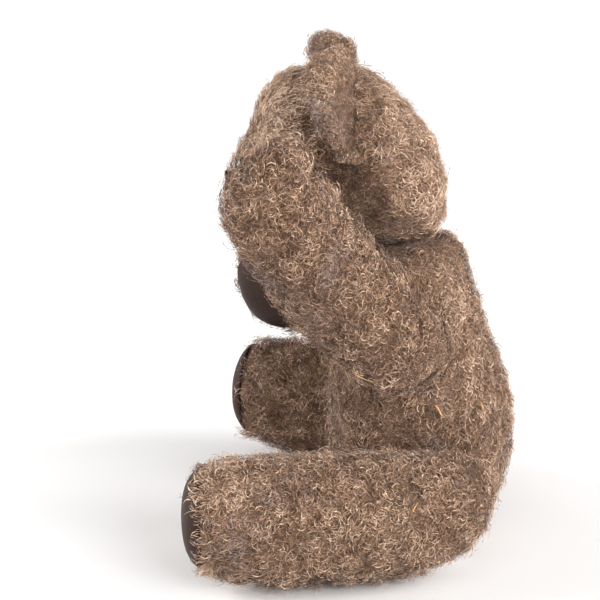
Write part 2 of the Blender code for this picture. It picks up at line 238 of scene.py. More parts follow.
# Wool from sooty to bleached, then dust grey and rust
WOOL = [
    (0.00, (0.060, 0.028, 0.016)),
    (0.22, (0.165, 0.086, 0.049)),
    (0.45, (0.336, 0.196, 0.119)),
    (0.66, (0.515, 0.338, 0.227)),
    (0.80, (0.717, 0.527, 0.385)),
    (0.86, (0.302, 0.237, 0.217)),
    (0.92, (0.336, 0.237, 0.200)),
    (1.00, (0.370, 0.123, 0.062)),
]
WOOL_ROOT_SHADE = (0.030, 0.014, 0.009)
# Curls drawn on the felted cloth: how many to a metre, how thin, and their tone
CURL_LAYERS = [(260, 20, 0.32), (330, 24, 0.44), (420, 24, 0.52), (520, 26, 0.62)]


def paint_fibre(tree):
    """Tone runs across the map, from soot to pale tips, then dust grey and rust; roots are darker, as painted
    shade deep in the pile.
    """
    tone, along = tree.split(tree.get("ShaderNodeUVMap", {"uv_map": "OFBake"}))
    shade = tree.ramp(along, 0.0, 0.55, 0.42, 1.0)
    return {"Base Color": tree.mix(shade, WOOL_ROOT_SHADE, tree.colours(tone, WOOL)),
            "Sheen Weight": 0.25, "Sheen Roughness": 0.5, "Specular IOR Level": 0.2}


def paint_cloth(tree):
    """Felted underpile: layer on layer of fine tangled curls over dark roots."""
    place = own_place(tree)
    patch = tree.noise(place, 60, 3, 0.6)
    colour = tree.mix(patch, (0.050, 0.025, 0.015), (0.185, 0.107, 0.063))
    height = patch * 0.3
    for number, (scale, thin, tone) in enumerate(CURL_LAYERS):
        shifted = place + (3.1 * number, 1.7 * number, 2.3 * number)
        field = tree.noise(shifted, scale, 2.0, 0.55)
        line = (1 - tree.math("ABSOLUTE", field - 0.5) * thin).clamped()
        line = line * tree.ramp(tree.noise(shifted, scale * 0.35, 2.0), 0.36, 0.56)
        worn = tree.colours(tree.noise(shifted, 48, 3, 0.65) * 0.8 + (tone - 0.35), WOOL[:5])
        colour = tree.mix(line, colour, worn)
        height = height * (1 - line * 0.6) + line * (0.5 + 0.12 * number)
    return {"Base Color": colour, "Normal": bumped(tree, height, 0.9, 0.0007)}


def paint_leather(tree):
    """Smooth dark leather with fine creases, rubbed paler at random and dulled by dust."""
    place = own_place(tree)
    grain = tree.cells(place, 1500)
    fold = tree.noise(place, 160, 5, 0.6)
    rub = tree.ramp(tree.noise(place, 70, 4, 0.65), 0.52, 0.76)
    base = tree.mix(fold, (0.016, 0.0065, 0.0045), (0.040, 0.018, 0.012))
    return {"Base Color": tree.mix(rub * 0.35, base, (0.082, 0.054, 0.046)),
            "Roughness": tree.ramp(fold * 0.6 + rub * 0.4, 0.2, 0.8, 0.48, 0.74),
            "Specular IOR Level": 0.14, "Normal": bumped(tree, grain * 0.35 + fold, 0.35, 0.0006)}


def paint_glass(tree):
    """Black glass with faint scratches."""
    scratch = tree.ramp(tree.noise(own_place(tree), 420, 5, 0.7), 0.55, 0.75)
    return {"Base Color": (0.008, 0.006, 0.006, 1.0), "Roughness": 0.06 + scratch * 0.22,
            "Coat Weight": 0.6, "Coat Roughness": 0.05}


def paint_thread(tree):
    """Twisted black embroidery thread, browned where it is rubbed."""
    place = own_place(tree)
    twist = tree.noise(place, 1400, 3, 0.6)
    worn = tree.ramp(tree.noise(place, 210, 3), 0.5, 0.75)
    base = tree.mix(worn * 0.5, (0.016, 0.013, 0.012), (0.085, 0.060, 0.045))
    return {"Base Color": tree.mix(twist * 0.4, base, (0.050, 0.042, 0.040)),
            "Normal": bumped(tree, twist, 0.6, 0.0004)}


def paint_board(tree):
    """Raw hardboard: pressed brown fibre."""
    fibre = tree.noise(own_place(tree), 700, 5, 0.7)
    return {"Base Color": tree.mix(fibre, (0.18, 0.11, 0.06), (0.42, 0.29, 0.17)),
            "Normal": bumped(tree, fibre, 0.5, 0.0005)}


def paint_steel(tree):
    """Zinc plate gone dull, with rust in spots."""
    rust = tree.ramp(tree.noise(own_place(tree), 260, 5, 0.65), 0.58, 0.70)
    return {"Base Color": tree.mix(rust, (0.52, 0.52, 0.53), (0.22, 0.09, 0.04)),
            "Metallic": 1 - rust, "Roughness": 0.35 + rust * 0.5}


def paint_straw(tree):
    """Dry wood wool, orange to pale yellow."""
    streak = tree.noise(own_place(tree), 500, 3, 0.6)
    return {"Base Color": tree.mix(streak, (0.52, 0.22, 0.06), (0.78, 0.50, 0.20))}


def paint_floor(tree):
    return {"Base Color": (0.86, 0.85, 0.845, 1.0)}


FIBRE = finish("worn_wool_pile", paint_fibre, 0.95)
CLOTH = finish("pile_backing_cloth", paint_cloth, 0.95)
LEATHER = finish("dark_leather", paint_leather, 0.5)
GLASS = finish("black_glass", paint_glass, 0.1)
EMBROIDERY = finish("black_thread", paint_thread, 0.75)
BOARD = finish("hardboard", paint_board, 0.9)
STEEL = finish("dull_plated_steel", paint_steel, 0.4, 1.0)
STRAW = finish("wood_wool_straw", paint_straw, 0.7)
PAPER = finish("pale_paper_floor", paint_floor, 0.9)


# ---------------------------------------------------------------- meshes

def object_from(name, mesh, material):
    made = bpy.data.objects.new(name, mesh)
    mesh.materials.clear()
    mesh.materials.append(material)
    bpy.context.scene.collection.objects.link(made)
    return made


def baked(source):
    """A plain mesh of what source's modifiers give."""
    bpy.context.view_layer.update()
    evaluated = source.evaluated_get(bpy.context.evaluated_depsgraph_get())
    return bpy.data.meshes.new_from_object(evaluated)


def apply_modifiers(piece):
    mesh = baked(piece)
    piece.modifiers.clear()
    piece.data = mesh
    return piece


def smooth(piece):
    for polygon in piece.data.polygons:
        polygon.use_smooth = True


def vectors_of(items, name):
    found = np.empty(len(items) * 3, np.float32)
    items.foreach_get(name, found)
    return found.reshape(-1, 3).astype(float)


def points_of(mesh):
    return vectors_of(mesh.vertices, "co")


def normals_of(mesh):
    return vectors_of(mesh.vertex_normals, "vector")


def set_points(mesh, points):
    mesh.vertices.foreach_set("co", points.astype(np.float32).ravel())
    mesh.update()


def set_attribute(mesh, name, values, kind="FLOAT", field="value"):
    attribute = mesh.attributes.get(name) or mesh.attributes.new(name, kind, "POINT")
    attribute.data.foreach_set(field, np.asarray(values, np.float32).ravel())


def eased(values, low, high):
    share = np.clip((values - low) / (high - low), 0, 1)
    return share * share * (3 - 2 * share)


def bmesh_of(*meshes):
    bm = bmesh.new()
    for mesh in meshes:
        bm.from_mesh(mesh)
    return bm


def mesh_from(name, bm):
    mesh = bpy.data.meshes.new(name)
    bm.to_mesh(mesh)
    bm.free()
    return mesh


def surface_of(bm):
    found = BVHTree.FromBMesh(bm)
    bm.free()
    return found


def welded_copy(*nodes):
    """One bmesh of copies of CAD nodes, with their loose triangles joined."""
    bm = bmesh_of(*(frame["nodes"][node].data for node in nodes))
    bmesh.ops.remove_doubles(bm, verts=bm.verts, dist=SHELL_SAME)
    return bm


def tree_of(*nodes):
    return surface_of(welded_copy(*nodes))


def middle_of(node):
    low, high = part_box(node)
    return np.array((low + high) / 2)


def joint_frame(name):
    """A joint's place, and its axis turned to point out of the torso."""
    joint = JOINTS[name]
    place = np.array(joint["pos_m"])
    axis = np.array(joint["axis"])
    node = next(form for form, held in FORMS.items() if held[1] == name)
    if (middle_of(node) - place) @ axis < 0:
        axis = -axis
    return place, axis / np.linalg.norm(axis)


def joints_at(form):
    """The joints whose planes a form is pressed against."""
    own = FORMS[form][1]
    return [own] if own else list(JOINTS)


def keep_largest_shell(bm):
    left = set(bm.verts)
    shells = []
    while left:
        shell = set()
        reach = [left.pop()]
        while reach:
            vertex = reach.pop()
            shell.add(vertex)
            for edge in vertex.link_edges:
                other = edge.other_vert(vertex)
                if other in left:
                    left.remove(other)
                    reach.append(other)
        shells.append(shell)
    shells.sort(key=len)
    for shell in shells[:-1]:
        bmesh.ops.delete(bm, geom=list(shell), context="VERTS")


def even_skin(node, bm, voxel, rounds):
    """A cloth object from bm, remeshed in even quads and relaxed."""
    form = object_from("cloth_" + node, mesh_from("cloth_" + node, bm), CLOTH)
    remesh = form.modifiers.new("Even", "REMESH")
    remesh.mode = "VOXEL"
    remesh.voxel_size = voxel
    relax = form.modifiers.new("Relax", "SMOOTH")
    relax.factor = 0.5
    relax.iterations = rounds
    apply_modifiers(form)
    return form


def in_cloth(form):
    form.data.materials.clear()
    form.data.materials.append(CLOTH)
    return form


PLUG_RADIUS = 0.0060    # closes a bolt's hole before a form is remeshed
PLUG_DEPTH = 0.0020


def cloth_form(node):
    """A CAD body as one even quad skin, its bolt holes plugged and the hollows inside left out."""
    bm = welded_copy(node)
    for name in joints_at(node):
        place, outward = joint_frame(name)
        inward = outward if FORMS[node][1] else -outward
        turned = Vector(outward).to_track_quat("Z", "Y").to_matrix().to_4x4()
        at = Matrix.Translation(Vector(place + inward * PLUG_DEPTH * 0.6)) @ turned
        bmesh.ops.create_cone(bm, cap_ends=True, segments=16, radius1=PLUG_RADIUS, radius2=PLUG_RADIUS,
                              depth=PLUG_DEPTH, matrix=at)
    form = even_skin(node, bm, VOXEL, SMOOTH_ROUNDS)
    bm = bmesh_of(form.data)
    keep_largest_shell(bm)
    bm.to_mesh(form.data)
    bm.free()
    return in_cloth(form)


def away_from_joints(node, points):
    """0 where a form turns against the disc of another body, rising to 1 a little way off."""
    away = np.ones(len(points))
    for name in joints_at(node):
        place, outward = joint_frame(name)
        offset = points - place
        height = np.abs(offset @ outward)
        beside = np.linalg.norm(offset - np.outer(offset @ outward, outward), axis=1)
        low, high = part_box(name + "_disc_inner")
        disc = max(high - low) / 2
        clear = np.maximum(eased(height, PLANE_KEEP, PLANE_EASE),
                           eased(beside, disc + DISC_COVER, disc + DISC_COVER + DISC_EASE))
        away = np.minimum(away, clear)
    return away


def distances(tree, points, furthest=0.03):
    """Each point's distance to a tree's surface, no more than furthest."""
    found = np.full(len(points), furthest)
    for i, point in enumerate(points):
        hit = tree.find_nearest(Vector(point), furthest)
        if hit[0] is not None:
            found[i] = hit[3]
    return found


# ---------------------------------------------------------------- cloth forms

PADS_ON = {
    "arm_left": "paw_pad_left", "arm_right": "paw_pad_right",
    "leg_left": "foot_pad_left", "leg_right": "foot_pad_right",
}
PAD_BARE = 0.0013       # no pile grows on cloth this close to leather
PAD_EDGE = 0.0012       # and it thins over this much more
PAD_FRINGE = 0.35       # and stands this much higher beside it
PAD_EASE = (0.0010, 0.0050)         # between these distances from leather, cloth sinks to its full depth
PAW_PAD_EASE = (0.0030, 0.0080)     # and between these the end of a paw fills out
SUNK_MUZZLE = 0.0012    # cloth is sunk by this much round the nose
FAR = 0.06              # how far a distance to a piece of the head is looked for
EAR_SHADE = -0.30       # the head is darker by this beside an ear, as painted shade
FACE_BARE = ["nose_stitching", "eye_left", "eye_right"]
PAW_FROM, PAW_FULL = 0.088, 0.110       # from the joint; the paw's end is stuffed full
PAW_SUNK = -0.0006
PAW_FLUFF = 0.45        # and its pile stands this much higher on top
MUZZLE_REACH = 0.034    # pile is short within this distance of the nose
# Between these heights cloth is let go from the floor, lies unevenly, and has its pile
FLOOR_HELD = (0.0016, 0.010)
FLOOR_EVEN = (0.0005, 0.006)
FLOOR_BARE = (0.0006, 0.0060)


REFIT_REACH = 0.0090    # smoothing drew the cloth in from its solid by less than this
REFIT_BACK = 0.0005
REFIT_FACING = 0.3
REFIT_ROUNDS = 2        # of evening out


def refit(form, node):
    """Brings the smoothed cloth back out to its solid's skin, away from the faces that turn."""
    solid = NEIGHBOURS[node]
    points = points_of(form.data)
    normals = normals_of(form.data)
    free = away_from_joints(node, points)
    out = np.zeros(len(points))
    for i, (point, normal) in enumerate(zip(points, normals)):
        way = Vector(normal)
        hit = solid.ray_cast(Vector(point) - way * REFIT_BACK, way, REFIT_REACH)
        if hit[0] is not None and hit[1].dot(way) > REFIT_FACING:
            out[i] = hit[3] - REFIT_BACK
    links = np.zeros(len(form.data.edges) * 2, np.int32)
    form.data.edges.foreach_get("vertices", links)
    first, second = links.reshape(-1, 2).T
    for _ in range(REFIT_ROUNDS):
        total = out.copy()
        count = np.ones(len(points))
        np.add.at(total, first, out[second])
        np.add.at(total, second, out[first])
        np.add.at(count, first, 1)
        np.add.at(count, second, 1)
        out = total / count
    set_points(form.data, points + normals * (out * free)[:, None])


def limb_way(node, limb):
    """The way from a limb's joint to a node's middle, square to the joint's axis."""
    place, outward = joint_frame(FORMS[limb][1])
    way = middle_of(node) - place
    way = way - outward * (way @ outward)
    return way / np.linalg.norm(way)


def paw_share(node, points):
    """0 along an arm, rising to 1 at its paw's end."""
    place, _ = joint_frame(FORMS[node][1])
    return eased((points - place) @ limb_way(node, node), PAW_FROM, PAW_FULL)


def from_nose(points, bare):
    """0 within bare of the nose, rising to 1 off the muzzle."""
    return eased(distances(tree_of("nose_stitching"), points, FAR), bare, MUZZLE_REACH)


def sink(form, node):
    """Draws the cloth in from the solid, to leave room for pile, except where nothing grows."""
    points = points_of(form.data)
    depth = np.full(len(points), SUNK)
    if node in PADS_ON:
        from_pad = distances(surface_of(bmesh_of(leathers[node].data)), points)
        depth = SUNK_UNDER_PAD + (SUNK - SUNK_UNDER_PAD) * eased(from_pad, *PAD_EASE)
    if node == "head":
        depth = SUNK_MUZZLE + (SUNK - SUNK_MUZZLE) * from_nose(points, 0.004)
    if node.startswith("arm"):
        on_top = eased(normals_of(form.data)[:, 2], 0.30, 0.80)
        share = paw_share(node, points) * on_top
        depth = depth - (depth - PAW_SUNK) * share * eased(from_pad, *PAW_PAD_EASE)
    depth = depth * away_from_joints(node, points)
    set_points(form.data, points - normals_of(form.data) * depth[:, None])


def lumps(points):
    """How far the worn stuffing and matted pile rise or fall, from about -1 to 1."""
    found = np.empty(len(points))
    for i, point in enumerate(points):
        place = Vector(point)
        fine = noise.noise(place * LUMP_FINE)
        broad = noise.noise(place * LUMP_BROAD + Vector((5, 3, 8)))
        found[i] = fine * 0.9 + broad * 0.5
    return found


def roughen(form, node):
    """Subdivides a swollen cloth and lets it lie unevenly, but not on the faces that turn."""
    finer = form.modifiers.new("Finer", "SUBSURF")
    finer.levels = finer.render_levels = 1
    apply_modifiers(form)
    points = points_of(form.data)
    rise = lumps(points)
    free = away_from_joints(node, points) * eased(points[:, 2], *FLOOR_EVEN)
    set_points(form.data, points + normals_of(form.data) * (rise * LUMP_RISE * free)[:, None])
    return rise


def seam_weights(node, points):
    """1 on a form's panel seams, falling to 0 beside them."""
    if node == "torso":
        across = np.abs(points[:, 0])
    elif node == "head":
        place, _ = joint_frame("neck")
        across = np.abs((points - place) @ np.array([math.cos(HEAD_TURN), math.sin(HEAD_TURN), 0]))
    else:
        place, outward = joint_frame(FORMS[node][1])
        height = (points - place) @ outward
        across = np.abs(height - (height.min() + height.max()) / 2)
    return 1 - eased(across, SEAM_WIDTH * 0.4, SEAM_WIDTH)


def swell(form, node):
    """Stuffing pressure on the cloth, held at its seams and at the planes that turn."""
    rest = points_of(form.data)
    held = np.maximum(seam_weights(node, rest), 1 - away_from_joints(node, rest))
    held = np.maximum(held, 1 - eased(rest[:, 2], *FLOOR_HELD))
    group = form.vertex_groups.new(name="Held")
    for i in np.flatnonzero(held > 0.05):
        group.add([int(i)], float(held[i]), "REPLACE")
    cloth = form.modifiers.new("Swell", "CLOTH")
    settings = cloth.settings
    settings.use_pressure = True
    settings.uniform_pressure_force = SWELL_PRESSURE
    settings.effector_weights.gravity = 0
    settings.vertex_group_mass = group.name
    settings.quality = 5
    cloth.collision_settings.use_collision = False
    cloth.point_cache.frame_start = 1
    cloth.point_cache.frame_end = SWELL_FRAMES
    for step in range(1, SWELL_FRAMES + 1):
        bpy.context.scene.frame_set(step)
    apply_modifiers(form)
    bpy.context.scene.frame_set(1)
    form.vertex_groups.clear()
    moved = points_of(form.data) - rest
    size = np.linalg.norm(moved, axis=1)
    scale = np.minimum(1, SWELL_CAP / np.maximum(size, 1e-9)) * (1 - held)
    set_points(form.data, rest + moved * scale[:, None])


def mark_pile(form, comb, cover=1.0, reach=1.0, fluff=1.0, tint=0.0, rust=0.0):
    """Writes what the pile reads at each point of a cloth."""
    every = np.ones(len(form.data.vertices))
    marks = {"cover": cover, "reach": reach, "fluff": fluff, "tint": tint, "rust": rust}
    for name, values in marks.items():
        set_attribute(form.data, name, every * values)
    set_attribute(form.data, "comb", comb, "FLOAT_VECTOR", "vector")


def comb_over(node, points):
    """The way that pile is brushed: down the torso, back over the head, along a limb."""
    if node == "torso":
        way = np.tile((0.0, 0.1, -1.0), (len(points), 1))
    elif node == "head":
        way = points - middle_of("nose_stitching")
    else:
        place, _ = joint_frame(FORMS[node][1])
        way = np.tile(middle_of(node) - place, (len(points), 1))
    return way / np.maximum(np.linalg.norm(way, axis=1), 1e-9)[:, None]


CREASE = 0.0085         # within this distance of another body the pile is short and matted, and darker with painted shade
ARM_CREASE = {"head": 0.0310, "torso": 0.0110}      # and within this distance of an arm
CREASE_PAINTED_SHADE = {"head": -0.72}       # how much darker a form is there, as painted shade
CREASE_PAINTED_SHADE_ELSE = -0.34
CREASE_SHUT = 0.0015    # skins nearer than this, and what they are sunk by, are pressed shut
CREASE_SHORT = 0.35     # how much shorter and lower the pile is there
CREASE_FLAT = 0.3


def crease(node, points):
    """1 where a form lies against another body at rest, falling to 0 away from it."""
    shut = np.zeros(len(points))
    for other, (body, _) in FORMS.items():
        if body != FORMS[node][0] and not (node.startswith("arm") and other == "head"):
            reach = ARM_CREASE.get(node, CREASE) if other.startswith("arm") else CREASE
            away = distances(NEIGHBOURS[other], points, reach * 2)
            shut = np.maximum(shut, 1 - eased(away, CREASE_SHUT + SUNK, reach))
    return shut


# Stains, scuffs and dimples in the pile, and patches of painted shade and painted light: form, place, radius,
# how much paler or darker, how much rust
STAINS_AND_PAINTED_LIGHT = [
    ("head", (0.0019, 0.0107, 0.1851), 0.0060, 0.0, 0.20),
    ("head", (0.0002, 0.0117, 0.1747), 0.0050, 0.0, 0.18),
    # painted shade on the head beside the left ear, then painted shadow in a band where the left arm lies
    # close
    ("head", (0.0284, -0.0517, 0.2267), 0.0110, -0.20, 0.0),
    ("head", (0.0459, -0.0393, 0.1966), 0.0130, -0.40, 0.0),
    ("head", (0.0450, -0.0310, 0.1900), 0.0120, -0.44, 0.0),
    ("head", (0.0411, -0.0234, 0.1789), 0.0120, -0.26, 0.0),
    # painted light: paler where the face, the front of the left leg and the back of the torso are lit
    ("head", (0.0250, -0.0700, 0.2150), 0.0230, 0.24, 0.0),
    ("leg_left", (0.1050, -0.0850, 0.0500), 0.0300, 0.14, 0.0),
    ("torso", (0.0300, 0.0250, 0.1300), 0.0280, 0.15, 0.0),
    ("ear_left", (0.0370, -0.0326, 0.2318), 0.0042, -0.05, 0.30),
    ("arm_left", (0.0990, -0.0850, 0.1560), 0.0090, 0.22, 0.0),
    ("leg_left", (0.1098, -0.0827, 0.0430), 0.0100, -0.05, 0.15),
    ("leg_left", (0.1100, -0.0795, 0.0388), 0.0032, -0.25, 0.30),
    ("leg_left", (0.0637, 0.0352, 0.0550), 0.0045, -0.40, 0.0),
    # painted shade along a crease across the left arm
    ("arm_left", (0.1015, -0.0654, 0.1913), 0.0036, -0.30, 0.0),
    ("arm_left", (0.1000, -0.0575, 0.1858), 0.0036, -0.34, 0.0),
    ("arm_left", (0.0971, -0.0493, 0.1799), 0.0036, -0.30, 0.0),
]


def stains_and_painted_light(node, points):
    tint = np.zeros(len(points))
    rust = np.zeros(len(points))
    for form, place, radius, paler, redder in STAINS_AND_PAINTED_LIGHT:
        if form == node:
            share = 1 - eased(np.linalg.norm(points - np.array(place), axis=1), radius * 0.35, radius)
            tint += share * paler
            rust += share * redder
    return tint, rust


def grow_weights(form, node, rise):
    """Where pile grows on a form, how much of its length is left there, and its tone."""
    points = points_of(form.data)
    off_discs = away_from_joints(node, points)
    cover = eased(off_discs, 0.02, 0.45)
    reach = np.ones(len(points))
    fluff = 0.4 + 0.6 * off_discs
    if node in PADS_ON:
        from_pad = distances(surface_of(bmesh_of(leathers[node].data)), points)
        cover *= eased(from_pad, PAD_BARE, PAD_BARE + PAD_EDGE)
        fluff *= 1 + PAD_FRINGE * (1 - eased(from_pad, 0.004, 0.012))
    if node == "head":
        cover *= eased(distances(tree_of(*FACE_BARE), points), 0.0002, 0.0012)
        reach = 0.45 + 0.55 * from_nose(points, 0.006)
    if node.startswith("arm"):
        fluff *= 1 + PAW_FLUFF * paw_share(node, points) * eased(normals_of(form.data)[:, 2], 0.35, 0.85)
    cover *= 0.15 + 0.85 * eased(points[:, 2], *FLOOR_BARE)
    shut = crease(node, points)
    # painted shade: darker in the hollows of the lumps and where the form lies against another body
    tint = rise * LUMP_PAINTED_SHADE + shut * CREASE_PAINTED_SHADE.get(node, CREASE_PAINTED_SHADE_ELSE)
    if node == "head":
        # painted shade on the head beside the ears
        by_ear = 1 - eased(distances(tree_of("ear_left", "ear_right"), points), 0.003, 0.013)
        tint += by_ear * EAR_SHADE
    paler, rust = stains_and_painted_light(node, points)
    mark_pile(form, comb_over(node, points), cover, reach * (1 - CREASE_SHORT * shut),
              fluff * (1 - CREASE_FLAT * shut), tint + paler, rust)


EAR_VOXEL = 0.0020
EAR_GROWN = 1.03        # the soft ear is this much larger than its solid, from where it is sewn
EAR_SUNK = 0.0003
EAR_ROUNDS = 6          # of relaxing
EAR_LUMP = 0.0005
EAR_PAINTED_SHADE = -0.24        # ears are darker by this, as painted shade
EAR_RIM_PAINTED_LIGHT = 0.30     # and grow paler by this away from the head, as painted light towards the rim
EAR_RIM_REACH = 0.03
EAR_PILE = dict(cover=1.0, reach=0.62, fluff=0.9)
EAR_DENT = 0.0038       # the left ear is creased along this line behind its rim
EAR_DENT_LINE = (Vector((0.0, -0.0332, 0.2306)), Vector((0.0, -0.0262, 0.2075)))
EAR_DENT_WIDE = 0.0060
EAR_DENT_PAINTED_SHADE = 0.42


def ear_cloth(node):
    """An ear of two layers of pile cloth; the left one is creased behind its rim."""
    ear = in_cloth(even_skin(node, welded_copy(node), EAR_VOXEL, EAR_ROUNDS))
    points = points_of(ear.data)
    skull = tree_of("head")
    sewn = points[np.argsort(distances(skull, points, FAR))[:len(points) // 8]].mean(0)
    points = sewn + (points - sewn) * EAR_GROWN
    rise = lumps(points)
    inward = EAR_SUNK - rise * EAR_LUMP
    tip = eased(distances(skull, points, FAR), 0.0, EAR_RIM_REACH)
    # painted shade in the lumps' hollows and over the ear, and painted light towards its rim
    tint = rise * LUMP_PAINTED_SHADE + EAR_RIM_PAINTED_LIGHT * tip + EAR_PAINTED_SHADE
    if node == "ear_left":
        first, last = EAR_DENT_LINE
        run = last - first
        flat = points.copy()
        flat[:, 0] = 0
        share = np.clip((flat - np.array(first)) @ np.array(run) / run.length_squared, 0, 1)
        aside = np.linalg.norm(flat - (np.array(first) + share[:, None] * np.array(run)), axis=1)
        dent = (1 - eased(aside, 0.001, EAR_DENT_WIDE)) * np.clip(normals_of(ear.data)[:, 1] * 3, 0, 1)
        inward = inward + dent * EAR_DENT
        # the crease is darkened with painted shade
        tint -= dent * EAR_DENT_PAINTED_SHADE
    set_points(ear.data, points - normals_of(ear.data) * inward[:, None])
    way = points - middle_of("head")
    way /= np.linalg.norm(way, axis=1)[:, None]
    paler, rust = stains_and_painted_light(node, points)
    mark_pile(ear, way, tint=tint + paler, rust=rust, **EAR_PILE)
    smooth(ear)
    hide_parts(node)
    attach(ear, "head_body")
    return ear


def stuffed(node):
    form = cloth_form(node)
    refit(form, node)
    sink(form, node)
    swell(form, node)
    grow_weights(form, node, roughen(form, node))
    smooth(form)
    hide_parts(node)
    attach(form, FORMS[node][0])
    return form


# ---------------------------------------------------------------- pile

def stored(tree, geometry, name, value, kind="FLOAT", domain="POINT"):
    return tree.get("GeometryNodeStoreNamedAttribute", {"data_type": kind, "domain": domain},
                    {"Geometry": geometry, "Name": name, "Value": value})


def named(tree, name, kind="FLOAT"):
    return tree.get("GeometryNodeInputNamedAttribute", {"data_type": kind}, {"Name": name})


def chance(tree, low, high, seed):
    """An even random number for each fibre."""
    return tree.get("FunctionNodeRandomValue", {"data_type": "FLOAT"}, {2: low, 3: high, 8: seed}, 1)


def unit(tree, vector):
    return tree.get("ShaderNodeVectorMath", {"operation": "NORMALIZE"}, {0: vector})


def dotted(tree, a, b):
    return tree.get("ShaderNodeVectorMath", {"operation": "DOT_PRODUCT"}, {0: a, 1: b}, "Value")


def chosen(test, when_false, when_true):
    return when_false + (when_true - when_false) * test


PILE_SIZES = ["Length", "Width", "Stand", "Tuft", "Bend", "Comb", "Tone"]       # a body's own, from PILE
PILE_INPUTS = dict.fromkeys(["Fibres per square metre", *PILE_SIZES, "Stray share", "Frizz share"],
                            "NodeSocketFloat")
PILE_INPUTS.update({"Seed": "NodeSocketInt", "Material": "NodeSocketMaterial"})
TUFT_PULL = 0.32        # share of the way that tips lean to the middle of their tuft
WAVE = 0.00035          # a fibre's small waves to each side
# How much a fibre's tone follows broad patches, mottling, grain, its tuft, chance, tuft edges (painted shade
# and light: darker in the gaps between tufts, paler on their tops) and frizz
TONE_BY = dict(patch=0.30, mottle=0.50, grain=0.85, tuft=0.16, own=0.50, edge=0.30, frizz=0.24)
TONE_ENDS = (0.02, 0.78)            # plain wool stays between these tones
DUST_FROM, DUST_TONE = 0.65, 0.89   # noise above the first is dust, in this tone
RUST_FROM, RUST_TONE = 0.76, 0.975


